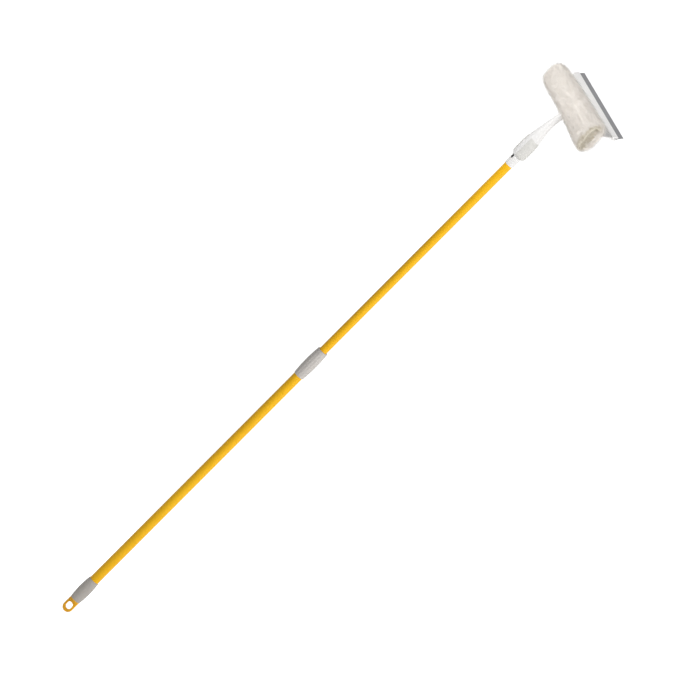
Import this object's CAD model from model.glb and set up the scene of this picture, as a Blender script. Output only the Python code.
import math

import bmesh
import bpy
import numpy as np
from mathutils import Matrix, Vector


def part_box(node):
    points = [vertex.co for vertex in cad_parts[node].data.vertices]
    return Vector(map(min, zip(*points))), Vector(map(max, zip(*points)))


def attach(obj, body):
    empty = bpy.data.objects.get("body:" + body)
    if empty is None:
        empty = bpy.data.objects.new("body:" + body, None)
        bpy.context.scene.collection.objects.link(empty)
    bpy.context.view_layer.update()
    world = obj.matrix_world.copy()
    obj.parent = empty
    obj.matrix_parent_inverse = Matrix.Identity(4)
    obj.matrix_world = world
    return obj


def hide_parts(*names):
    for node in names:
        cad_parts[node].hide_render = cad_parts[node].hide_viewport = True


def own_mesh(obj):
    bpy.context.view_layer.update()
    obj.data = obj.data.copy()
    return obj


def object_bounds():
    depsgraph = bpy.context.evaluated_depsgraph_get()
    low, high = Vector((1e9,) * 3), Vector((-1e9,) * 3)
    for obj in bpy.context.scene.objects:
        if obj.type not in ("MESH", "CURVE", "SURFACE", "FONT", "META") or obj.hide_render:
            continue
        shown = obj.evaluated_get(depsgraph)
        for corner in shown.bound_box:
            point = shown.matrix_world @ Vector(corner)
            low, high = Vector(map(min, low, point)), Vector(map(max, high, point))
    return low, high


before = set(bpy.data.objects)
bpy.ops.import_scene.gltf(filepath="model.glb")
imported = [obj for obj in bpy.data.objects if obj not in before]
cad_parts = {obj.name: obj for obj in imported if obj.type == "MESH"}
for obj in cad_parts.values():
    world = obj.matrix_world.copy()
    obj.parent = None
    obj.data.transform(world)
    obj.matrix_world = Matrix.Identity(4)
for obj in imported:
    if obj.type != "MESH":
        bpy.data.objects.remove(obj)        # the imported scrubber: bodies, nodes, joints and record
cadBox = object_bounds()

print("scrubber: frame loaded")
mm = 0.001


def addNode(tree, kind, inputs=None, **settings):
    node = tree.nodes.new(kind)
    for key, value in settings.items():
        setattr(node, key, value)
    for key, value in (inputs or {}).items():
        if isinstance(value, bpy.types.NodeSocket):
            tree.links.new(value, node.inputs[key])
        else:
            node.inputs[key].default_value = value
    return node


def result(tree, kind, inputs=None, socket=0, **settings):  # one output of a new node
    return addNode(tree, kind, inputs, **settings).outputs[socket]


def calc(tree, operation, *values, **settings):
    return result(tree, "ShaderNodeMath", dict(enumerate(values)), operation=operation, **settings)


def vectorCalc(tree, operation, first, second):
    inputs = {0: first, ("Scale" if operation == "SCALE" else 1): second}
    return result(tree, "ShaderNodeVectorMath", inputs, operation=operation)


def mapRange(tree, value, given=(0.0, 1.0), made=(0.0, 1.0)):
    ends = zip(("From Min", "From Max", "To Min", "To Max"), (*given, *made))
    return result(tree, "ShaderNodeMapRange", {"Value": value, **dict(ends)})


socketKinds = {float: "Float", int: "Int", tuple: "Color", type(None): "Geometry"}


def startGroup(name, inputs, outputs, kind="ShaderNodeTree"):
    group = bpy.data.node_groups.new(name, kind)
    for label, value in inputs.items():
        sort = "NodeSocket" + socketKinds[type(value)]
        socket = group.interface.new_socket(label, in_out="INPUT", socket_type=sort)
        if value is not None:
            socket.default_value = value
    for label, sort in outputs.items():
        group.interface.new_socket(label, in_out="OUTPUT", socket_type="NodeSocket" + sort)
    return group, addNode(group, "NodeGroupInput").outputs


def endGroup(group, results):
    addNode(group, "NodeGroupOutput", results)
    return group


def newPiece(name, mesh):
    piece = bpy.data.objects.new(name, mesh)
    bpy.context.scene.collection.objects.link(piece)
    return piece


def meshFrom(name, verts, faces):
    mesh = bpy.data.meshes.new(name)
    mesh.from_pydata([tuple(v) for v in verts], [], faces)
    mesh.update()
    return mesh


def outward(mesh):  # doubles merged first, then every face turned outwards
    work = bmesh.new()
    work.from_mesh(mesh)
    bmesh.ops.remove_doubles(work, verts=work.verts[:], dist=1e-6)
    bmesh.ops.recalc_face_normals(work, faces=work.faces[:])
    work.to_mesh(mesh)
    work.free()
    return mesh


def smooth(mesh, angle=32.0):
    mesh.shade_smooth()
    mesh.set_sharp_from_angle(angle=math.radians(angle))
    return mesh


def roundAngles(count):
    return [2 * math.pi * step / count for step in range(count)]


def ringFaces(rows, around, closed=False):  # faces between rings of points, ring by ring
    faces = []
    for row in range(rows if closed else rows - 1):
        below, above = row * around, (row + 1) % rows * around
        for step in range(around):
            after = (step + 1) % around
            faces.append((below + step, below + after, above + after, above + step))
    return faces


def cappedRings(name, verts, around):  # rings of points joined up and closed at both ends
    faces = ringFaces(len(verts) // around, around)
    faces += [tuple(range(around)), tuple(range(len(verts) - around, len(verts)))]
    return newPiece(name, outward(meshFrom(name, verts, faces)))


def sheetPiece(name, verts, columns):  # rows of points joined up into a sheet
    rows = range(len(verts) // columns - 1)
    starts = [row * columns + column for row in rows for column in range(columns - 1)]
    faces = [(k, k + 1, k + columns + 1, k + columns) for k in starts]
    return newPiece(name, meshFrom(name, verts, faces))


def bakeModifiers(piece):  # the modifiers' result becomes the piece's own mesh
    graph = bpy.context.evaluated_depsgraph_get()
    graph.update()
    mesh = bpy.data.meshes.new_from_object(piece.evaluated_get(graph))
    piece.modifiers.clear()
    piece.data = mesh


def cutAway(piece, *cutters):  # takes the cutters' shapes out of the piece
    for cutter in cutters:
        cut = piece.modifiers.new("cut", "BOOLEAN")
        cut.operation, cut.object, cut.solver = "DIFFERENCE", cutter, "EXACT"
    bakeModifiers(piece)
    for cutter in cutters:
        bpy.data.objects.remove(cutter)


def meltTogether(piece, voxel):
    melt = piece.modifiers.new("melt", "REMESH")
    melt.mode, melt.voxel_size = "VOXEL", voxel


def growOn(piece, tree, values):
    grow = piece.modifiers.new("grow", "NODES")
    grow.node_group = tree
    for item in tree.interface.items_tree:
        if item.item_type == "SOCKET" and item.in_out == "INPUT" and item.name in values:
            grow[item.identifier] = values[item.name]
    bakeModifiers(piece)


def finishPiece(piece, body, slot, finish, *nodes):
    if finish:
        piece.data.materials.clear()
        piece.data.materials.append(material[finish])
    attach(piece, body)
    if nodes:
        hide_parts(*nodes)


softEdge = {
    "merge": 3e-6,
    "flat": math.radians(0.3),
    "corner": math.radians(38),
    "segments": 2,
}


def mergedCopy(node, name, bevel=0.0, sharp=32.0):
    work = bmesh.new()
    work.from_mesh(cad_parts[node].data)
    bmesh.ops.remove_doubles(work, verts=work.verts[:], dist=softEdge["merge"])
    if bevel:
        bmesh.ops.dissolve_limit(
            work, angle_limit=softEdge["flat"], verts=work.verts[:], edges=work.edges[:]
        )
    mesh = bpy.data.meshes.new(name)
    work.to_mesh(mesh)
    work.free()
    if "custom_normal" in mesh.attributes:
        mesh.attributes.remove(mesh.attributes["custom_normal"])
    piece = newPiece(name, smooth(mesh, sharp))
    if bevel:
        edge = piece.modifiers.new("softEdges", "BEVEL")
        edge.width, edge.segments = bevel, softEdge["segments"]
        edge.limit_method, edge.angle_limit = "ANGLE", softEdge["corner"]
        edge.use_clamp_overlap = edge.harden_normals = True
    return piece


# A closed outline of radius and height turned about the pole; shaping changes the radius by angle
def turnedShell(name, outline, segments, shaping=None):
    verts = []
    for radius, height in outline:
        for angle in roundAngles(segments):
            r = radius + (shaping(angle, radius, height) if shaping else 0.0)
            verts.append((r * math.cos(angle), r * math.sin(angle), height))
    faces = ringFaces(len(outline), segments, closed=True)
    return newPiece(name, smooth(outward(meshFrom(name, verts, faces))))


# Values between stations on a curve that never overshoots them
def throughStations(places, values, wanted):
    x, y, t = np.array(places, float), np.array(values, float), np.array(wanted, float)
    h, slope = np.diff(x), np.diff(y) / np.diff(x)
    tangent = np.zeros(len(x))
    for i in range(1, len(x) - 1):
        if slope[i - 1] * slope[i] > 0:
            a, b = 2 * h[i] + h[i - 1], h[i] + 2 * h[i - 1]
            tangent[i] = (a + b) / (a / slope[i - 1] + b / slope[i])
    tangent[0], tangent[-1] = slope[0], slope[-1]
    k = np.clip(np.searchsorted(x, t) - 1, 0, len(x) - 2)
    s = (t - x[k]) / h[k]
    return (
        (2 * s**3 - 3 * s**2 + 1) * y[k]
        + (s**3 - 2 * s**2 + s) * h[k] * tangent[k]
        + (3 * s**2 - 2 * s**3) * y[k + 1]
        + (s**3 - s**2) * h[k] * tangent[k + 1]
    )


shot = {
    "azimuth": 48.0,
    "elevation": 14.0,
    "roll": 44.94,
    "target": (0.0, 0.0123, 0.8342),
    "distance": 60.0,
    "frameWidth": 1.4518,
    "sensor": 36.0,
    "clip": 400.0,
}


def wayTo(azimuth, rise):
    a, e = math.radians(azimuth), math.radians(rise)
    return Vector((math.sin(a) * math.cos(e), -math.cos(a) * math.cos(e), math.sin(e)))


def shotAxes():
    a, r = math.radians(shot["azimuth"]), math.radians(shot["roll"])
    back = wayTo(shot["azimuth"], shot["elevation"])
    level = Vector((math.cos(a), math.sin(a), 0.0))
    up = back.cross(level)
    return level * math.cos(r) + up * math.sin(r), up * math.cos(r) - level * math.sin(r), back


def makeCamera():
    right, up, back = shotAxes()
    data = bpy.data.cameras.new("photoCamera")
    data.sensor_width = shot["sensor"]
    data.lens = shot["sensor"] * shot["distance"] / shot["frameWidth"]
    data.clip_end = shot["clip"]
    camera = bpy.data.objects.new("photoCamera", data)
    place = Vector(shot["target"]) + back * shot["distance"]
    turn = Matrix((right, up, back)).transposed().to_4x4()
    camera.matrix_world = Matrix.Translation(place) @ turn
    bpy.context.scene.collection.objects.link(camera)
    bpy.context.scene.camera = camera


lamps = {
    # name: aim, turn from the camera, rise, distance, width, height, watts, colour, spread
    "stripKey": (shot["target"], 75.0, 10.0, 2.6, 0.5, 2.6, 17.0, (1.0, 0.985, 0.96), 180.0),
    "softFront": (shot["target"], 34.0, 22.0, 3.2, 0.8, 2.4, 50.0, (1.0, 1.0, 1.0), 180.0),
    "headSoft": ((-0.02, 0.02, 1.59), -64.0, 15.0, 1.4, 0.35, 0.35, 0.56, (1.0, 1.0, 1.0), 31.0),
}


def hangLamp(name, aim, turn, rise, distance, width, height, watts, colour, spread):
    way = wayTo(shot["azimuth"] + turn, rise)
    data = bpy.data.lights.new(name, "AREA")
    data.shape = "RECTANGLE"
    data.size, data.size_y = width, height
    data.energy, data.color, data.spread = watts, colour, math.radians(spread)
    lamp = bpy.data.objects.new(name, data)
    lamp.location = Vector(aim) + way * distance
    lamp.rotation_mode = "QUATERNION"
    lamp.rotation_quaternion = (-way).to_track_quat("-Z", "Y")
    bpy.context.scene.collection.objects.link(lamp)


studio = {"ambient": 0.34, "floorHalf": 60.0, "floorTone": 0.9, "floorLift": 0.85}
white = (1.0, 1.0, 1.0, 1.0)


def seenDirectly(tree):  # 1 for camera, mirror and see-through rays
    path = addNode(tree, "ShaderNodeLightPath").outputs
    shown = calc(tree, "MAXIMUM", path["Is Camera Ray"], path["Is Glossy Ray"])
    return calc(tree, "MAXIMUM", shown, path["Is Transmission Ray"])


def makeWorld():
    world = bpy.data.worlds.new("studio")
    bpy.context.scene.world = world
    world.use_nodes = True
    tree = world.node_tree
    tree.nodes.clear()
    dim, bright = (
        result(tree, "ShaderNodeBackground", {"Color": white, "Strength": strength})
        for strength in (studio["ambient"], 1.0)
    )
    mix = result(tree, "ShaderNodeMixShader", {0: seenDirectly(tree), 1: dim, 2: bright})
    addNode(tree, "ShaderNodeOutputWorld", {"Surface": mix})


def makeFloor():
    low, half, tone = cadBox[0].z, studio["floorHalf"], studio["floorTone"]
    verts = [(-half, -half, low), (half, -half, low), (half, half, low), (-half, half, low)]
    floor = newPiece("studio_floor", meshFrom("studio_floor", verts, [(0, 1, 2, 3)]))
    paper = bpy.data.materials.new("floorPaper")
    paper.use_nodes = True
    tree = paper.node_tree
    tree.nodes.clear()
    matt = result(tree, "ShaderNodeBsdfDiffuse", {"Color": (tone, tone, tone, 1)})
    lift = calc(tree, "MULTIPLY", seenDirectly(tree), studio["floorLift"])
    glow = result(tree, "ShaderNodeEmission", {"Color": white, "Strength": lift})
    both = result(tree, "ShaderNodeAddShader", {0: matt, 1: glow})
    addNode(tree, "ShaderNodeOutputMaterial", {"Surface": both})
    floor.data.materials.append(paper)


bpy.context.scene.view_settings.view_transform = "Standard"
makeCamera()
for name, facts in lamps.items():
    hangLamp(name, *facts)
makeWorld()
makeFloor()
print("scrubber: camera, lamps and floor set")


def scaledPlace(group, given):  # object coordinates times a scale, squeezed along the pole
    place = result(group, "ShaderNodeTexCoord", socket="Object")
    squeeze = result(group, "ShaderNodeCombineXYZ", {"X": 1.0, "Y": 1.0, "Z": given["Stretch"]})
    return vectorCalc(group, "SCALE", vectorCalc(group, "MULTIPLY", place, squeeze), given["Scale"])


def noise(group, where, scale, detail, **more):
    inputs = {"Vector": where, "Scale": scale, "Detail": detail, **more}
    return result(group, "ShaderNodeTexNoise", inputs, "Fac")


def mixColors(tree, share, first, second):
    inputs = {"Factor": share, 6: first, 7: second}
    return result(tree, "ShaderNodeMix", inputs, 2, data_type="RGBA")


def makeGrain():  # fine moulded or sprayed texture: a height and a soft mask
    group, given = startGroup(
        "surfaceGrain", {"Scale": 900.0, "Stretch": 1.0}, {"Height": "Float", "Mask": "Float"}
    )
    where = scaledPlace(group, given)
    fine = noise(group, where, 1.0, 3.0, Roughness=0.55)
    mask = mapRange(group, noise(group, where, 0.11, 2.0), (0.3, 0.7))
    return endGroup(group, {"Height": fine, "Mask": mask})


def makeTone():  # a colour that drifts a little over the surface
    group, given = startGroup(
        "toneDrift",
        {"Color": (0.8, 0.8, 0.8, 1), "Second": (0.7, 0.7, 0.7, 1), "Scale": 30.0,
         "Stretch": 1.0, "Spread": 0.5},
        {"Color": "Color"},
    )
    mask = mapRange(group, noise(group, scaledPlace(group, given), 1.0, 3.0), (0.35, 0.68))
    share = calc(group, "MULTIPLY", mask, given["Spread"])
    return endGroup(group, {"Color": mixColors(group, share, given["Color"], given["Second"])})


def makeScuffs():  # long faint rub marks and specks, as a mask
    group, given = startGroup(
        "rubMarks", {"Scale": 60.0, "Stretch": 0.08, "Amount": 0.5}, {"Mask": "Float"}
    )
    where = scaledPlace(group, given)
    streaks = mapRange(group, noise(group, where, 6.0, 5.0, Roughness=0.7), (0.58, 0.74))
    patches = mapRange(group, noise(group, where, 0.5, 2.0), (0.42, 0.62))
    both = calc(group, "MULTIPLY", streaks, patches)
    return endGroup(group, {"Mask": calc(group, "MULTIPLY", both, given["Amount"])})


grainGroup = makeGrain()
toneGroup = makeTone()
scuffGroup = makeScuffs()


def useGroup(tree, group, inputs):
    return addNode(tree, "ShaderNodeGroup", inputs, node_tree=group).outputs


def driftTone(tree, color, second, scale, spread, stretch=1.0):
    inputs = {"Color": (*color, 1), "Second": (*second, 1), "Scale": scale, "Spread": spread}
    return useGroup(tree, toneGroup, {**inputs, "Stretch": stretch})["Color"]


def startMaterial(name, sockets):
    look = bpy.data.materials.new(name)
    look.use_nodes = True
    shader = look.node_tree.nodes["Principled BSDF"]
    for key, value in sockets.items():
        shader.inputs[key].default_value = value
    return look, look.node_tree, shader


def colorAndBump(tree, shader, color, height, strength, depth):
    inputs = {"Strength": strength, "Distance": depth, "Height": height}
    bump = result(tree, "ShaderNodeBump", inputs)
    tree.links.new(color, shader.inputs["Base Color"])
    tree.links.new(bump, shader.inputs["Normal"])


# What a hard finish has where its own dictionary says nothing else
plainFinish = {
    "toneStretch": 1.0,
    "spread": 0.6,
    "grainStretch": 1.0,
    "rubs": 0.2,
    "rubScale": 60.0,
    "rubStretch": 0.1,
    "rubRoughness": 0.35,
    "bump": 0.2,
    "bumpDepth": 0.0002,
    "sockets": {},
}


# A hard finish: drifting colour, grain in its bump, rub marks that roughen and tint it
def hardFinish(name, color, second, toneScale, grainScale, roughness, more):
    facts = {**plainFinish, "wornColor": second, **more}
    look, tree, shader = startMaterial(name, facts["sockets"])
    tone = driftTone(tree, color, second, toneScale, facts["spread"], facts["toneStretch"])
    grain = useGroup(
        tree, grainGroup, {"Scale": grainScale, "Stretch": facts["grainStretch"]}
    )
    rubs = useGroup(
        tree, scuffGroup,
        {"Scale": facts["rubScale"], "Stretch": facts["rubStretch"], "Amount": facts["rubs"]},
    )["Mask"]
    worn = mixColors(tree, rubs, tone, (*facts["wornColor"], 1))
    rough = mapRange(tree, grain["Mask"], made=roughness)
    rougher = calc(tree, "MULTIPLY_ADD", rubs, facts["rubRoughness"], rough, use_clamp=True)
    tree.links.new(rougher, shader.inputs["Roughness"])
    colorAndBump(tree, shader, worn, grain["Height"], facts["bump"], facts["bumpDepth"])
    return look


finishes = {
    # name: colour, second colour, scales of tone and grain, roughness, what isn't plain about it
    "coatedTube": (
        (0.95, 0.53, 0.012), (0.93, 0.46, 0.008), 14.0, 700.0, (0.26, 0.34),
        {"toneStretch": 0.3, "spread": 0.5, "grainStretch": 0.6, "rubs": 0.22,
         "rubStretch": 0.05, "wornColor": (0.90, 0.45, 0.03), "bump": 0.03,
         "bumpDepth": 0.0001, "sockets": {"Specular IOR Level": 0.16}},
    ),
    "loopPlastic": (
        (0.90, 0.47, 0.025), (0.78, 0.36, 0.015), 60.0, 1800.0, (0.34, 0.46),
        {"rubs": 0.3, "bump": 0.15, "sockets": {"Specular IOR Level": 0.2}},
    ),
    "gripGrey": (
        (0.47, 0.44, 0.405), (0.41, 0.38, 0.35), 45.0, 2600.0, (0.50, 0.62),
        {"rubs": 0.25, "bump": 0.35},
    ),
    "collarGrey": (
        (0.56, 0.53, 0.50), (0.50, 0.47, 0.445), 45.0, 2200.0, (0.40, 0.52),
        {"rubs": 0.25, "bump": 0.25},
    ),
    "headWhite": (
        (0.82, 0.81, 0.80), (0.77, 0.76, 0.75), 30.0, 2400.0, (0.34, 0.44),
        {"spread": 0.5, "bump": 0.15, "sockets": {"Specular IOR Level": 0.3}},
    ),
    "padGrey": (
        (0.69, 0.68, 0.65), (0.63, 0.62, 0.59), 50.0, 3200.0, (0.58, 0.70), {"bump": 0.4},
    ),
    "buttonBlack": (
        (0.018, 0.018, 0.018), (0.03, 0.03, 0.03), 200.0, 3000.0, (0.38, 0.5), {"spread": 0.5},
    ),
    "bladeRubber": (
        (0.255, 0.255, 0.263), (0.225, 0.225, 0.233), 40.0, 2600.0, (0.55, 0.68),
        {"rubs": 0.3, "rubStretch": 1.0, "wornColor": (0.36, 0.36, 0.36), "bump": 0.3},
    ),
    "naturalNylon": (
        (0.80, 0.79, 0.74), (0.72, 0.71, 0.66), 80.0, 2400.0, (0.40, 0.5), {"spread": 0.5},
    ),
    "hookNylon": (
        (0.76, 0.75, 0.71), (0.66, 0.65, 0.61), 900.0, 4200.0, (0.55, 0.75),
        {"spread": 0.9, "rubs": 0.1, "bump": 0.9, "bumpDepth": 0.0005},
    ),
    "springSteel": (
        (0.60, 0.60, 0.61), (0.50, 0.50, 0.52), 200.0, 3000.0, (0.24, 0.36),
        {"grainStretch": 0.1, "rubs": 0.3, "bump": 0.1, "sockets": {"Metallic": 1.0}},
    ),
    "screwSteel": (
        (0.70, 0.70, 0.68), (0.60, 0.59, 0.56), 300.0, 4000.0, (0.28, 0.4),
        {"rubs": 0.3, "bump": 0.15, "sockets": {"Metallic": 1.0}},
    ),
}
material = {name: hardFinish(name, *facts) for name, facts in finishes.items()}
print("scrubber: hard finishes mixed")


pole = {
    "gripFoot": 18.3 * mm,
    "gripLength": 59.4 * mm,
    "gripBore": 11.05 * mm,
    "gripEnd": 12.3 * mm,
    "gripMiddle": 14.2 * mm,
    "gripEdge": 0.9 * mm,
    "lowerOuter": 11.0 * mm,
    "lowerBore": 10.4 * mm,
    "lowerTop": 752.7 * mm,
    "upperOuter": 9.5 * mm,
    "upperBore": 8.9 * mm,
    "upperTop": 1410.5 * mm,
    "tubeEdge": 0.12 * mm,
    "neckFoot": 1370.5 * mm,
    "segments": 96,
}
buttonHole = {
    "height": 21.6 * mm,
    "depths": (-14 * mm, -5 * mm),
    "steps": 14,
    # length and width of the hole in the upper tube and of the slot in the stem
    "tube": (10.2 * mm, 5.2 * mm),
    "stem": (11.0 * mm, 6.0 * mm),
}
quarterTurn = [math.radians(angle) for angle in (22.5, 45.0, 67.5)]


def tubeOutline(outer, bore, foot, top):
    edge = pole["tubeEdge"]
    return [
        (outer, foot + edge), (outer, top - edge), (outer - edge, top), (bore + edge, top),
        (bore, top - edge), (bore, foot + edge), (bore + edge, foot), (outer - edge, foot),
    ]


def barrelOutline(bore, end, middle, foot, top, edge, rows=28):
    outline = [(bore, foot), (end - edge, foot)]
    for a in quarterTurn:
        outline.append((end - edge + edge * math.sin(a), foot + edge - edge * math.cos(a)))
    for step in range(rows + 1):
        share = step / rows
        radius = end + (middle - end) * (1 - (2 * share - 1) ** 2)
        outline.append((radius, foot + edge + (top - foot - 2 * edge) * share))
    for a in quarterTurn:
        outline.append((end - edge + edge * math.cos(a), top - edge + edge * math.sin(a)))
    return outline + [(end - edge, top), (bore, top)]


def slotCutter(length, width):  # a round-ended bar through the front wall at the button's place
    centre = pole["neckFoot"] + buttonHole["height"]
    verts, steps = [], buttonHole["steps"]
    for y in buttonHole["depths"]:
        for side in (1, -1):
            for step in range(steps + 1):
                a = math.radians(-90 + 180 * step / steps)
                z = side * ((length - width) / 2 + width / 2 * math.cos(a))
                verts.append((side * width / 2 * math.sin(a), y, centre + z))
    return cappedRings("slotCutter", verts, 2 * (steps + 1))


def makePole():
    feet = {"lower": pole["gripFoot"], "upper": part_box("upper_tube")[0].z}
    for part, foot in feet.items():
        outer, bore, top = (pole[part + size] for size in ("Outer", "Bore", "Top"))
        outline = tubeOutline(outer, bore, foot, top)
        tube = turnedShell(f"{part}_tube_coated", outline, pole["segments"])
        if part == "upper":
            cutAway(tube, slotCutter(*buttonHole["tube"]))
            smooth(tube.data)
        finishPiece(tube, f"{part}_pole", "yellow_tube", "coatedTube", f"{part}_tube")


def makeGrip():
    outline = barrelOutline(
        pole["gripBore"], pole["gripEnd"], pole["gripMiddle"], pole["gripFoot"],
        pole["gripFoot"] + pole["gripLength"], pole["gripEdge"],
    )
    grip = turnedShell("grip_moulding", outline, pole["segments"])
    finishPiece(grip, "lower_pole", "grip_grey", "gripGrey", "grip_sleeve")


collar = {
    "foot": 716.7 * mm,
    "top": 792.7 * mm,
    "end": 12.4 * mm,
    "middle": 14.1 * mm,
    "edge": 0.8 * mm,
    "rows": 40,
    "segments": 192,
    "flutes": 12,
    "depth": 0.45 * mm,
    "fade": 7.0 * mm,
    "plain": 1.0 * mm,
    "skin": 12.41 * mm,
    # the hollow: radius at the top, above the cone, in the chamber and at the foot
    "mouth": 9.6 * mm,
    "throat": 11.0 * mm,
    "chamber": 12.4 * mm,
    "bore": 11.1 * mm,
    # heights of the cone above the lower tube's top, and of the chamber above the collar's foot
    "coneFoot": 4.1 * mm,
    "coneTop": 25.1 * mm,
    "chamberFoot": 12 * mm,
}


def makeCollar():
    foot, top, plain = collar["foot"], collar["top"], collar["plain"]
    coneFoot, coneTop = (pole["lowerTop"] + collar[key] for key in ("coneFoot", "coneTop"))
    chamberFoot = foot + collar["chamberFoot"]

    def flute(angle, radius, height):
        if radius <= collar["skin"] or height < foot + plain or height > top - plain:
            return 0.0
        near = min(1.0, (height - foot) / collar["fade"], (top - height) / collar["fade"])
        wave = 0.5 + 0.5 * math.cos(collar["flutes"] * angle)
        return -collar["depth"] * near * wave**3

    outline = barrelOutline(
        collar["mouth"], collar["end"], collar["middle"], foot, top, collar["edge"], collar["rows"]
    )
    outline = outline[1:] + [
        (collar["mouth"], coneTop), (collar["throat"], coneTop), (collar["chamber"], coneFoot),
        (collar["chamber"], chamberFoot), (collar["bore"], chamberFoot), (collar["bore"], foot),
    ]
    body = turnedShell("collar_moulding", outline, collar["segments"], flute)
    finishPiece(body, "lock_collar", "collar_grey", "collarGrey", "lock_collar")


makePole()
makeGrip()
makeCollar()
print("scrubber: tubes, grip and collar turned")


hangLoop = {"voxel": 0.45 * mm, "ease": 0.5, "rounds": 7}


def makeLoop():
    loop = mergedCopy("hang_loop", "hang_loop_moulding")
    meltTogether(loop, hangLoop["voxel"])
    ease = loop.modifiers.new("ease", "SMOOTH")
    ease.factor, ease.iterations = hangLoop["ease"], hangLoop["rounds"]
    bakeModifiers(loop)
    loop.data.shade_smooth()
    finishPiece(loop, "lower_pole", "yellow_plastic", "loopPlastic", "hang_loop")


makeLoop()
print("scrubber: hanging loop moulded")


stem = {
    "neckRadius": 11.0 * mm,
    "bendStart": 89.4 * mm,
    "bendRadius": (17.3**2 + 98.6**2) / (2 * 17.3) * mm,  # comes out 17.3 mm over 98.6 mm
    "end": 162.9 * mm,
    "lean": 0.254,
    "boreRadius": 9.55 * mm,
    "boreTop": 43.6 * mm,
    "edge": 0.8 * mm,
    "around": 112,
    "ring": 1.0 * mm,
    "sharp": 38.0,
}
stemStations = {
    "place": (0, 24, 27, 30.5, 34, 44.8, 55.6, 70, 87, 108.1, 124.4, 138, 163),
    "width": (22, 22, 28.97, 34.95, 37.27, 38.2, 38.6, 37.34, 32.3, 24.53, 19.7, 17.6, 17.6),
    "depth": (22, 22, 25.53, 28.55, 29.73, 30.1, 30.4, 29.49, 25.84, 20.22, 16.72, 15.2, 15.2),
}


def stemPoint(place, across, through):
    bend = max(place - stem["bendStart"], 0.0) / stem["bendRadius"]
    straight = min(place, stem["bendStart"])
    y = stem["bendRadius"] * (1 - math.cos(bend)) + through * math.cos(bend)
    z = pole["neckFoot"] + straight + stem["bendRadius"] * math.sin(bend)
    return across, y, z - through * math.sin(bend)


def stemSize(places):
    stations = {key: [value * mm for value in row] for key, row in stemStations.items()}
    width = throughStations(stations["place"], stations["width"], places)
    depth = throughStations(stations["place"], stations["depth"], places)
    return width / 2, depth / 2


def makeStem():
    edge, bore = stem["edge"], stem["boreRadius"]
    steps = int(round(stem["end"] / stem["ring"]))
    places = [edge + (stem["end"] - edge) * k / steps for k in range(steps + 1)]
    rings = [(stem["boreTop"], bore, bore), (0.0, bore, bore)]
    for a in quarterTurn:
        r = stem["neckRadius"] - edge * (1 - math.sin(a))
        rings.append((edge * (1 - math.cos(a)), r, r))
    rings += list(zip(places, *stemSize(places)))
    verts = [
        stemPoint(place, a * math.cos(angle), b * math.sin(angle))
        for place, a, b in rings for angle in roundAngles(stem["around"])
    ]
    body = cappedRings("stem_moulding", verts, stem["around"])
    cutAway(body, slotCutter(*buttonHole["stem"]))
    smooth(body.data, stem["sharp"])
    finishPiece(body, "upper_pole", "white_plastic", "headWhite", "handle_stem")


pads = {
    "start": 30.0 * mm,
    "length": 44.0 * mm,
    "crown": 5.0 * mm,
    "peak": 6.0 * mm,
    "angle": 68.0,
    "proud": 0.25 * mm,
    "sunk": 0.5 * mm,
    "rounding": 18,
    "thick": 1.0 * mm,
    "across": 48,
    "along": 56,
    "sharp": 50.0,
}


def padOutline(side, share):  # where the pad's foot or top stands at a share of its half width
    depth = share * math.sin(math.radians(pads["angle"]))
    crown = pads["crown"] * (1 - depth**2)
    if side < 0:
        return pads["start"] - crown
    return pads["start"] + pads["length"] + crown + pads["peak"] * max(-share, 0.0) ** 2


def padPoint(hand, u, v, lift):  # u from the front edge to the back one, v from the foot to the top
    foot, top = padOutline(-1, u), padOutline(1, u)
    place = foot + (top - foot) * v
    a, b = (float(s[0]) for s in stemSize([place]))
    angle = math.radians(pads["angle"] * u)
    reach = a * b / math.hypot(b * math.cos(angle), a * math.sin(angle)) + lift
    return stemPoint(place, hand * reach * math.cos(angle), reach * math.sin(angle))


def makePad(hand, side):
    across, along = pads["across"], pads["along"]
    verts = []
    for row in range(along + 1):
        for column in range(across + 1):
            u, v = 2 * column / across - 1, row / along
            inside = min(1 - abs(u), 2 * v, 2 * (1 - v)) * pads["rounding"]
            drop = (pads["proud"] + pads["sunk"]) * max(0.0, 1 - inside) ** 2
            verts.append(padPoint(hand, u, v, pads["proud"] - drop))
    pad = sheetPiece(f"pad_{side}_soft", verts, across + 1)
    back = pad.modifiers.new("back", "SOLIDIFY")
    back.thickness, back.offset = pads["thick"], -1.0 * hand
    bakeModifiers(pad)
    smooth(outward(pad.data), pads["sharp"])
    finishPiece(pad, "upper_pole", "pad_grey", "padGrey", f"grip_pad_{side}")


def dressed(tree, instances, look):  # instances made real, in one material
    real = result(tree, "GeometryNodeRealizeInstances", {0: instances})
    return result(tree, "GeometryNodeSetMaterial", {"Geometry": real, "Material": look})


def aimAlong(tree, way):
    inputs = {"Vector": way}
    return result(tree, "FunctionNodeAlignRotationToVector", inputs, axis="Z")


def plant(tree, places, instance, aim, scale):
    inputs = {"Points": places, "Instance": instance, "Rotation": aim, "Scale": scale}
    return result(tree, "GeometryNodeInstanceOnPoints", inputs)


dots = {
    "radius": 0.5 * mm,
    "flat": 0.6,
    "segments": 8,
    "rings": 5,
    "rows": 16,
    "columns": 14,
    "width": 0.86,
    "foot": 0.06,
    "height": 0.88,
}


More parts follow.
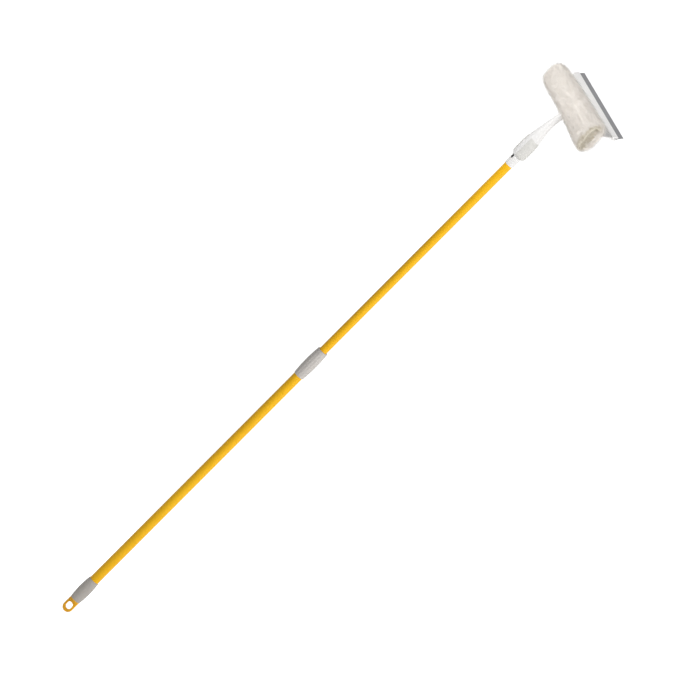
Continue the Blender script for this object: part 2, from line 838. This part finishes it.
def makeDotTree(look):
    tree, given = startGroup(
        "dotSetter", {"Places": None, "Radius": dots["radius"]}, {"Dots": "Geometry"},
        "GeometryNodeTree",
    )
    aim = aimAlong(tree, result(tree, "GeometryNodeInputNormal"))
    bead = result(
        tree, "GeometryNodeMeshUVSphere",
        {"Segments": dots["segments"], "Rings": dots["rings"], "Radius": given["Radius"]},
    )
    planted = plant(tree, given["Places"], bead, aim, (1.0, 1.0, dots["flat"]))
    return endGroup(tree, {"Dots": dressed(tree, planted, look)})


def makeDots(hand, side, tree):  # fine raised dots in staggered rows on a pad
    rows, columns = dots["rows"], dots["columns"]
    verts = []
    for row in range(rows):
        for column in range(columns):
            shift = 0.5 * (row % 2)
            u = dots["width"] * (2 * (column + shift) / (columns - 0.5) - 1)
            v = dots["foot"] + dots["height"] * row / (rows - 1)
            verts.append(padPoint(hand, u, v, pads["proud"]))
    piece = sheetPiece(f"pad_{side}_dots", verts, columns)
    growOn(piece, tree, {"Radius": dots["radius"]})
    piece.data.shade_smooth()
    finishPiece(piece, "upper_pole", "pad_grey", None)


makeStem()
dotTree = makeDotTree(material["padGrey"])
for hand, side in ((1, "right"), (-1, "left")):
    makePad(hand, side)
    makeDots(hand, side, dotTree)
button = mergedCopy("snap_button", "button_moulding", bevel=0.18 * mm)
finishPiece(button, "snap_button", "black_plastic", "buttonBlack", "snap_button")
leaf = mergedCopy("button_spring", "button_leaf")
finishPiece(leaf, "upper_pole", "spring_steel", "springSteel", "button_spring")
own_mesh(leaf)
print("scrubber: stem, pads and button shaped")


holder = mergedCopy("head_frame", "head_moulding", bevel=0.3 * mm)
finishPiece(holder, "upper_pole", "white_plastic", "headWhite", "head_frame")
blade = mergedCopy("rubber_blade", "blade_strip", sharp=25)
finishPiece(blade, "upper_pole", "blade_rubber", "bladeRubber", "rubber_blade")
for node in ("bar_cap_right", "bar_cap_left"):
    cap = mergedCopy(node, node + "_moulding", bevel=0.3 * mm)
    finishPiece(cap, "upper_pole", "white_plastic", "headWhite", node)
print("scrubber: head frame and blade done")


# The bar inside the sleeve: a flat-sided section with round top and bottom, and the fan's tilt
bar = {
    "y": 17.3 * mm,
    "z": 1558.5 * mm,
    "radius": 10 * mm,
    "flatHalf": 10 * mm,
    "tilt": math.radians(34.5),
}
barCentre = Vector((0, bar["y"], bar["z"]))
fanOut = Vector((0, math.cos(bar["tilt"]), math.sin(bar["tilt"])))
fanUp = Vector((0, -math.sin(bar["tilt"]), math.cos(bar["tilt"])))
shaft = {"count": 40, "length": 60 * mm, "flat": 0.92, "lining": 9.6 * mm, "sleeve": 9.3 * mm}


def stemShaft(radius):  # an oval rod on the stem's end, to cut the stem's hole
    lean = stem["lean"]
    xWay = Vector((1, 0, 0)) * radius
    yWay = Vector((0, math.cos(lean), -math.sin(lean))) * radius * shaft["flat"]
    zWay = Vector((0, math.sin(lean), math.cos(lean)))
    verts = [
        barCentre + xWay * math.cos(a) + yWay * math.sin(a) + zWay * level
        for level in (-shaft["length"], 0) for a in roundAngles(shaft["count"])
    ]
    return cappedRings("shaft", verts, shaft["count"])


# The cloth that lines the sleeve wraps the bar from one lip of the fan's slit round to the other
lining = {
    "offset": 1.1 * mm,
    "thick": 0.8 * mm,
    "halfLength": 107.0 * mm,
    "slit": 7.4 * mm,
    "around": 76,
    "along": 108,
    "sharp": 40.0,
    # place in mm and share of the section where the cloth folds in over the bar's end
    "fold": ((107.2, 0.93), (107.3, 0.8), (107.1, 0.6), (107.0, 0.4), (107.0, 0.2), (107.0, 0.04)),
}
ripples = {
    "round": 0.10 * mm,
    "roundTurns": 310,
    "sway": 1.3,
    "swayTurns": 120,
    "along": 0.08 * mm,
    "alongTurns": 260,
    "slant": 90,
}


def roundBar(s, r):  # y and z of a point at distance s round the bar, from the middle of its back
    flat, bend = bar["flatHalf"], math.pi * r
    s = s % (4 * flat + 2 * bend)
    if s < flat:
        return r, s
    if s < flat + bend:
        turn = (s - flat) / r
        return r * math.cos(turn), flat + r * math.sin(turn)
    if s < 3 * flat + bend:
        return -r, 2 * flat + bend - s
    if s < 3 * flat + 2 * bend:
        turn = (s - 3 * flat - bend) / r
        return -r * math.cos(turn), -flat - r * math.sin(turn)
    return r, s - 4 * flat - 2 * bend


def clothRipple(s, x):
    sway = ripples["sway"] * math.sin(x * ripples["swayTurns"])
    first = ripples["round"] * math.sin(s * ripples["roundTurns"] + sway)
    return first + ripples["along"] * math.sin(x * ripples["alongTurns"] + s * ripples["slant"])


def makeLining():
    reach = bar["radius"] + lining["offset"]
    start = reach * math.tan(bar["tilt"]) + lining["slit"] / 2
    width = 4 * bar["flatHalf"] + 2 * math.pi * reach - lining["slit"]
    around, along = lining["around"], lining["along"]
    rows = [(lining["halfLength"] * (2 * row / along - 1), 1.0) for row in range(along + 1)]
    rows += [(x * mm, share) for x, share in lining["fold"]]
    verts, flatPlaces = [], []
    for x, share in rows:
        for column in range(around + 1):
            s = start + width * column / around
            y, z = roundBar(s, reach + clothRipple(s, x))
            verts.append((x, bar["y"] + y * share, bar["z"] + z * (0.5 + 0.5 * share)))
            flatPlaces.append((width * column / around, x))
    piece = sheetPiece("sleeve_lining_cloth", verts, around + 1)
    cloth = piece.data.uv_layers.new(name="cloth")
    for loop in piece.data.loops:
        cloth.data[loop.index].uv = flatPlaces[loop.vertex_index]
    thick = piece.modifiers.new("thick", "SOLIDIFY")
    thick.thickness, thick.offset = lining["thick"], 0.0
    cutAway(piece, stemShaft(shaft["lining"]))
    smooth(piece.data, lining["sharp"])
    finishPiece(piece, "upper_pole", "lining_fabric", "liningWeave", "sleeve_lining")


def makeWeave():  # crossing threads from a cloth's own flat map, as a height
    group, given = startGroup("plainWeave", {"Threads": 1200.0}, {"Height": "Float"})
    flat = result(group, "ShaderNodeUVMap", uv_map="cloth")
    sized = vectorCalc(group, "SCALE", flat, given["Threads"])
    parts = addNode(group, "ShaderNodeSeparateXYZ", {0: sized}).outputs
    first, second = (
        calc(group, "ABSOLUTE", calc(group, "SINE", calc(group, "MULTIPLY", parts[way], math.pi)))
        for way in ("X", "Y")
    )
    over = result(
        group, "ShaderNodeTexChecker",
        {"Vector": sized, "Color1": white, "Color2": (0, 0, 0, 1), "Scale": 1.0}, "Fac",
    )
    inputs = {"Factor": over, 2: first, 3: second}
    return endGroup(group, {"Height": result(group, "ShaderNodeMix", inputs, data_type="FLOAT")})


def weaveFinish():
    look, tree, shader = startMaterial("liningWeave", {"Roughness": 0.9, "Sheen Weight": 0.3})
    height = useGroup(tree, makeWeave(), {"Threads": 1250.0})["Height"]
    tone = driftTone(tree, (0.62, 0.55, 0.44), (0.52, 0.45, 0.35), 70.0, 0.8)
    gap = mapRange(tree, height, (0.0, 0.6), (0.6, 1.0))
    colorAndBump(tree, shader, vectorCalc(tree, "SCALE", tone, gap), height, 0.6, 0.0003)
    return look


material["liningWeave"] = weaveFinish()
makeLining()
print("scrubber: lining wrapped round the bar")


# The padding under the pile; where no mm stands, its lengths are numbers of millimetres
sleeve = {
    "voxel": 2.6 * mm,
    "around": 96,
    "rows": 24,
    "power": 0.66,
    # middle height and depth, and how much wider it gets from the middle to 120 mm on the right
    "height": 62.5,
    "depth": 40.5,
    "flare": (8.0, 2.5),
    "half": 120,
    # place and share of the section, from the sewn left end to the open right end
    "sewnEnd": ((-129.0, 0.34), (-128.8, 0.64), (-127.4, 0.82), (-123.0, 0.93), (-110.0, 0.98)),
    "straight": 92,
    "openEnd": ((101.0, 1.0), (107.0, 0.99), (110.5, 0.96), (112.4, 0.91), (112.8, 0.85)),
    # inside the open end, place, height and depth: the bowl, its mouth and the room for the bar
    "bowl": ((111.9, 54.0, 32.0), (110.2, 49.0, 25.0), (109.0, 40.0, 13.0), (108.2, 31.0, 4.0)),
    "room": ((106.6, 31.0, 4.0), (106.2, 44.8, 24.8), (-107.6, 44.8, 24.8), (-107.6, 20.0, 10.0)),
    # the sag to the front and down, the bulge round the stem, and the slant of the open end
    "sag": (-1.2, -1.5),
    "sagGrowth": (1.6, 0.9),
    "bulge": (2.2, 1.4),
    "bulgeWidth": 15,
    "slant": 0.20,
    "tilt": 0.05,
    "slantPlace": (90, 113),
}
swells = {"long": 0.5, "short": 0.35, "waves": (9, 23, 5.3), "growFrom": 95, "growOver": 14}
stuffing = {"pressure": 4.0, "frames": 20, "cap": 3.0 * mm, "held": 15 * mm, "heldEnd": 109 * mm}


def clothSwell(x, angle):  # uneven stuffing, stronger near the open end
    c, s, waves = math.cos(angle), math.sin(angle), swells["waves"]
    swell = swells["long"] * math.sin(x / waves[0] + 2 * c) * math.sin(3 * angle + x / waves[1])
    swell += swells["short"] * math.sin(x / waves[2] + 5 * s)
    return swell * (1.0 + max(x - swells["growFrom"], 0) / swells["growOver"])


def sectionPoint(x, height, depth, angle, outside):
    power = sleeve["power"] if outside else 1.0
    c, s = math.cos(angle), math.sin(angle)
    up = height / 2 * math.copysign(abs(c) ** power, c)
    back = depth / 2 * math.copysign(abs(s) ** power, s)
    if outside:  # the cloth sags, and bulges round the stem at its lower front corner
        corner = 2 * max(-c, 0.0) * max(-s, 0.0) * math.exp(-((x / sleeve["bulgeWidth"]) ** 2))
        sag = [
            amount * (1 + growth * x / sleeve["half"]) - bulge * corner
            for amount, growth, bulge in zip(sleeve["sag"], sleeve["sagGrowth"], sleeve["bulge"])
        ]
        swell = clothSwell(x, angle)
        back += sag[0] + swell * s
        up += sag[1] + swell * c
    start, end = sleeve["slantPlace"]
    if x > start:  # the open end is cut a little aslant
        share = (min(x, end) - start) / (end - start)
        x -= (sleeve["slant"] * back + sleeve["tilt"] * up) * share**2
    return x * mm, bar["y"] + back * mm, bar["z"] + up * mm


def sleeveShell():
    straight = np.linspace(-sleeve["straight"], sleeve["straight"], sleeve["rows"])
    rows = [*sleeve["sewnEnd"], *((float(x), 1.0) for x in straight), *sleeve["openEnd"]]
    sized = []
    for x, share in rows:
        height = (sleeve["height"] + sleeve["flare"][0] * x / sleeve["half"]) * share
        depth = (sleeve["depth"] + sleeve["flare"][1] * x / sleeve["half"]) * share
        sized.append((x, height, depth, True))
    sized += [(*row, True) for row in sleeve["bowl"][:2]]
    sized += [(*row, False) for row in sleeve["bowl"][2:] + sleeve["room"]]
    verts = [
        sectionPoint(x, height, depth, angle, outside)
        for x, height, depth, outside in sized for angle in roundAngles(sleeve["around"])
    ]
    return cappedRings("sleeve_body", verts, sleeve["around"])


# A flat prism a little larger than the fan: half its thickness, and places along and off the bar
fanSlit = {
    "half": 3.1 * mm,
    "outline": ((94.8, 0), (109.5, 29), (117.8, 46), (118.0, 80)),
}


def fanCutter():
    outline = [*fanSlit["outline"], *((-x, reach) for x, reach in reversed(fanSlit["outline"]))]
    verts = []
    for level in (-fanSlit["half"], fanSlit["half"]):
        for x, reach in outline:
            verts.append(barCentre + Vector((x * mm, 0, 0)) + fanOut * reach * mm + fanUp * level)
    return cappedRings("fanCutter", verts, len(outline))


def fromUpright(y, z, half):  # distance from an upright line that reaches half up and down
    return np.hypot(np.maximum(np.abs(z) - half, 0), y)


def puffUp(body):
    start = np.array([v.co for v in body.data.vertices])
    near = fromUpright(start[:, 1] - bar["y"], start[:, 2] - bar["z"], bar["flatHalf"])
    pinned = (near < stuffing["held"]) & (np.abs(start[:, 0]) < stuffing["heldEnd"])
    group = body.vertex_groups.new(name="held")
    group.add([int(k) for k in np.where(pinned)[0]], 1.0, "REPLACE")
    cloth = body.modifiers.new("stuffing", "CLOTH")
    cloth.settings.use_pressure = True
    cloth.settings.uniform_pressure_force = stuffing["pressure"]
    cloth.settings.effector_weights.gravity = 0.0
    cloth.settings.vertex_group_mass = "held"
    cloth.point_cache.frame_start, cloth.point_cache.frame_end = 1, stuffing["frames"]
    scene = bpy.context.scene
    for count in range(1, stuffing["frames"] + 1):
        scene.frame_set(count)
    graph = bpy.context.evaluated_depsgraph_get()
    puffed = np.array([v.co for v in body.evaluated_get(graph).data.vertices])
    scene.frame_set(1)
    move = puffed - start
    far = np.linalg.norm(move, axis=1)
    scale = np.minimum(1.0, stuffing["cap"] / np.maximum(far, 1e-9))
    body.modifiers.clear()
    body.vertex_groups.clear()
    body.data.vertices.foreach_set("co", (start + move * scale[:, None]).ravel())
    body.data.update()
    print("scrubber: sleeve stuffed, largest move", round(float(far.max()) / mm, 1), "mm")


def makeSleeve():
    body = sleeveShell()
    cutAway(body, fanCutter(), stemShaft(shaft["sleeve"]))
    meltTogether(body, sleeve["voxel"])
    bakeModifiers(body)
    puffUp(body)
    finer = body.modifiers.new("finer", "SUBSURF")
    finer.levels = finer.render_levels = 1
    bakeModifiers(body)
    body.data.shade_smooth()
    return body


bareParts = {
    # no strands round the bar between two places, in its mouth, in the fan's slit, in the hole
    "core": 14.5 * mm,
    "coreEnds": (-109 * mm, 107 * mm),
    "mouth": 1.6 * mm,
    "mouthHalf": 14 * mm,
    "mouthEnd": 109 * mm,
    "slit": 3.5 * mm,
    "slitSide": 96 * mm,
    "slitFlare": 0.5,
    "hole": (9.7 * mm, 9.0 * mm),
}
pileHeight = {
    # width of the lips of shorter strands beside the slit and the hole, and their share
    "slitLips": (7 * mm, 0.6),
    "holeLips": (1.4, 0.8),
    # start, length and change of height at the open and at the sewn end
    "rim": (102 * mm, 8 * mm, 0.15),
    "sewn": (118 * mm, 10 * mm, -0.35),
}
beigePatch = {
    "size": 1.1 * mm,
    "waves": (2.3 * mm, 1.7 * mm, 4.1 * mm),
    "front": (5 * mm, 9 * mm),
    "end": (107 * mm, 4 * mm),
}


def markPile(body):  # where the pile grows, how tall it stands and where it turns beige
    mesh = body.data
    at = np.array([v.co for v in mesh.vertices])
    x, y, z = at[:, 0], at[:, 1] - bar["y"], at[:, 2] - bar["z"]
    fromCore = fromUpright(y, z, bar["flatHalf"])
    fromMouth = fromUpright(y, z, bareParts["mouthHalf"])
    out = y * fanOut.y + z * fanOut.z
    up = np.abs(y * fanUp.y + z * fanUp.z)
    lean, hole = stem["lean"], bareParts["hole"]
    across = np.hypot(x / hole[0], (y * math.cos(lean) - z * math.sin(lean)) / hole[1])
    cover = np.ones(len(at))
    start, end = bareParts["coreEnds"]
    cover[(fromCore < bareParts["core"]) & (x < end) & (x > start)] = 0
    cover[(fromMouth < bareParts["mouth"]) & (x < bareParts["mouthEnd"]) & (x > 0)] = 0
    inSlit = (out > 0) & (np.abs(x) < bareParts["slitSide"] + bareParts["slitFlare"] * out)
    cover[inSlit & (up < bareParts["slit"])] = 0
    cover[(across < 1) & (z < 0)] = 0
    first, second, third = beigePatch["waves"]
    patchy = beigePatch["size"] * (np.sin(z / first) + np.sin(y / second + z / third))
    edge, fade = beigePatch["front"]
    tan = np.clip((edge + patchy - y) / fade, 0, 1)
    edge, fade = beigePatch["end"]
    tan *= np.clip((x - edge + patchy) / fade, 0, 1)
    tall = np.ones(len(at))
    for along, key in ((x, "rim"), (-x, "sewn")):
        begin, length, change = pileHeight[key]
        tall += change * np.clip((along - begin) / length, 0, 1)
    width, share = pileHeight["slitLips"]
    tall[inSlit & (up < width)] *= share
    width, share = pileHeight["holeLips"]
    tall[(across < width) & (z < 0)] *= share
    for label, values in (("cover", cover), ("tanShare", tan), ("tall", tall)):
        marks = mesh.attributes.new(label, "FLOAT", "POINT")
        marks.data.foreach_set("value", values.astype(np.float32))


pile = {
    "bands": 5,
    "reach": 136,
    "middle": 0.6,
    "taper": -0.75,
    "sides": 3,
    "size": (0.65, 1.15),
    "lockLevel": (0.3, 0.7),
    "lockHeight": (0.7, 1.25),
}
pileInputs = {
    "Density": 700000.0,
    "Length": 4.6 * mm,
    "Root": 0.09 * mm,
    "Lean": 0.6,
    "Curl": 0.9,
    "Clump": 1.6,
    "Clump Scale": 170.0,
    "Seed": 7,
}


def named(tree, label):
    inputs = {"Name": label}
    return result(tree, "GeometryNodeInputNamedAttribute", inputs, "Attribute", data_type="FLOAT")


def drawn(tree, seed, low, high):  # a random number for each strand
    inputs = {2: low, 3: high, "Seed": seed}
    return result(tree, "FunctionNodeRandomValue", inputs, 1, data_type="FLOAT")


def strandShape(tree, given):
    bow = calc(tree, "MULTIPLY", given["Length"], given["Curl"])
    rise = calc(tree, "MULTIPLY", given["Length"], pile["middle"])
    middle = result(tree, "ShaderNodeCombineXYZ", {"Z": rise})
    tip = result(tree, "ShaderNodeCombineXYZ", {"X": bow, "Z": given["Length"]})
    line = result(
        tree, "GeometryNodeCurveQuadraticBezier",
        {"Resolution": 2, "Start": (0, 0, 0), "Middle": middle, "End": tip},
    )
    along = result(tree, "GeometryNodeSplineParameter", socket="Factor")
    taper = calc(tree, "MULTIPLY_ADD", along, pile["taper"], 1.0)
    thin = result(tree, "GeometryNodeSetCurveRadius", {"Curve": line, "Radius": taper})
    ring = result(
        tree, "GeometryNodeCurvePrimitiveCircle",
        {"Resolution": pile["sides"], "Radius": given["Root"]},
    )
    inputs = {"Curve": thin, "Profile Curve": ring, "Fill Caps": False}
    return result(tree, "GeometryNodeCurveToMesh", inputs)


def makePileTree(look):
    tree, given = startGroup(
        "pileGrower", {"Body": None, **pileInputs, "From": -1.0, "To": 1.0}, {"Pile": "Geometry"},
        "GeometryNodeTree",
    )
    dense = calc(tree, "MULTIPLY", given["Density"], named(tree, "cover"))
    spread = addNode(
        tree, "GeometryNodeDistributePointsOnFaces",
        {"Mesh": given["Body"], "Density": dense, "Seed": given["Seed"]},
    ).outputs
    position = result(tree, "GeometryNodeInputPosition")
    x = result(tree, "ShaderNodeSeparateXYZ", {0: position}, "X")
    low, high = (
        result(tree, "FunctionNodeCompare", {0: x, 1: given[edge]}, operation=operation)
        for edge, operation in (("From", "LESS_THAN"), ("To", "GREATER_EQUAL"))
    )
    outside = result(tree, "FunctionNodeBooleanMath", {0: low, 1: high}, operation="OR")
    kept = result(
        tree, "GeometryNodeDeleteGeometry",
        {"Geometry": spread["Points"], "Selection": outside}, domain="POINT",
    )
    jitter = result(
        tree, "FunctionNodeRandomValue", {0: (-1, -1, -1), 1: (1, 1, 1), "Seed": 3},
        data_type="FLOAT_VECTOR",
    )
    leaned = vectorCalc(tree, "SCALE", jitter, given["Lean"])
    lock = addNode(  # strands lean together in locks, and stand taller in some than in others
        tree, "ShaderNodeTexNoise",
        {"Scale": given["Clump Scale"], "Detail": 1.5, "Roughness": 0.6},
    ).outputs
    centred = vectorCalc(tree, "SUBTRACT", lock["Color"], (0.5, 0.5, 0.5))
    pulled = vectorCalc(tree, "SCALE", centred, given["Clump"])
    combed = vectorCalc(tree, "ADD", spread["Normal"], pulled)
    way = vectorCalc(tree, "ADD", combed, leaned)
    twist = {"Axis": (0, 0, 1), "Angle": drawn(tree, 11, 0.0, 2 * math.pi)}
    turns = {0: aimAlong(tree, way), 1: result(tree, "FunctionNodeAxisAngleToRotation", twist)}
    both = result(tree, "FunctionNodeRotateRotation", turns, rotation_space="LOCAL")
    height = mapRange(tree, lock[0], pile["lockLevel"], pile["lockHeight"])
    grown = calc(tree, "MULTIPLY", drawn(tree, 5, *pile["size"]), named(tree, "tall"))
    scale = calc(tree, "MULTIPLY", grown, height)
    planted = plant(tree, kept, strandShape(tree, given), both, scale)
    toned = result(
        tree, "GeometryNodeStoreNamedAttribute",
        {"Geometry": planted, "Name": "strandTone", "Value": drawn(tree, 21, 0.0, 1.0)},
        data_type="FLOAT", domain="INSTANCE",
    )
    return endGroup(tree, {"Pile": dressed(tree, toned, look)})


def growPile(body, look):
    tree, bands = makePileTree(look), pile["bands"]
    edges = [(-1 + 2 * k / bands) * pile["reach"] * mm for k in range(bands + 1)]
    for band in range(bands):
        tuft = newPiece(f"sleeve_pile_{band + 1}", body.data.copy())
        growOn(tuft, tree, {**pileInputs, "From": edges[band], "To": edges[band + 1]})
        finishPiece(tuft, "upper_pole", "sleeve_pile", None)
        print("scrubber: pile band", band + 1, "has", len(tuft.data.polygons), "faces")


wool = {
    # two colours, scale and spread of the clean wool and of the beige patches
    "tones": (
        ((0.99, 0.95, 0.90), (0.955, 0.91, 0.855), 120.0, 0.8),
        ((0.84, 0.79, 0.69), (0.60, 0.54, 0.43), 210.0, 0.9),
    ),
    "sockets": {
        "Roughness": 0.85, "Specular IOR Level": 0.3, "Sheen Weight": 0.25, "Sheen Roughness": 0.5,
    },
    "grain": 900.0,
    "bodyShade": (0.92, 1.0),
    "strandShade": (0.97, 1.0),
    "bump": (0.5, 0.0006),
}


def woolFinish(name, strand):
    look, tree, shader = startMaterial(name, wool["sockets"])
    clean, beige = (driftTone(tree, *tone) for tone in wool["tones"])
    share = result(tree, "ShaderNodeAttribute", socket="Fac", attribute_name="tanShare")
    height = useGroup(tree, grainGroup, {"Scale": wool["grain"]})["Height"]
    if strand:
        each = result(tree, "ShaderNodeAttribute", socket="Fac", attribute_name="strandTone")
        level = mapRange(tree, each, made=wool["strandShade"])
    else:
        level = mapRange(tree, height, made=wool["bodyShade"])
    shaded = vectorCalc(tree, "SCALE", mixColors(tree, share, clean, beige), level)
    colorAndBump(tree, shader, shaded, height, *wool["bump"])
    return look


material["woolBody"] = woolFinish("woolBody", False)
material["woolStrand"] = woolFinish("woolStrand", True)
sleeveBody = makeSleeve()
markPile(sleeveBody)
finishPiece(sleeveBody, "upper_pole", "sleeve_pile", "woolBody", "scrub_sleeve")
growPile(sleeveBody, material["woolStrand"])
print("scrubber: sleeve and pile done")


# Nodes that keep their own mesh and only get a finish
staying = {
    "collet": "naturalNylon",
    "guide_ring": "naturalNylon",
    "foot_plug": "naturalNylon",
    "tip_plug": "naturalNylon",
    "stem_screw": "screwSteel",
    "channel_plug_right": "headWhite",
    "channel_plug_left": "headWhite",
    "hook_tape_upper": "hookNylon",
    "hook_tape_lower": "hookNylon",
}
for node, finish in staying.items():
    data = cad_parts[node].data
    data.materials.clear()
    data.materials.append(material[finish])
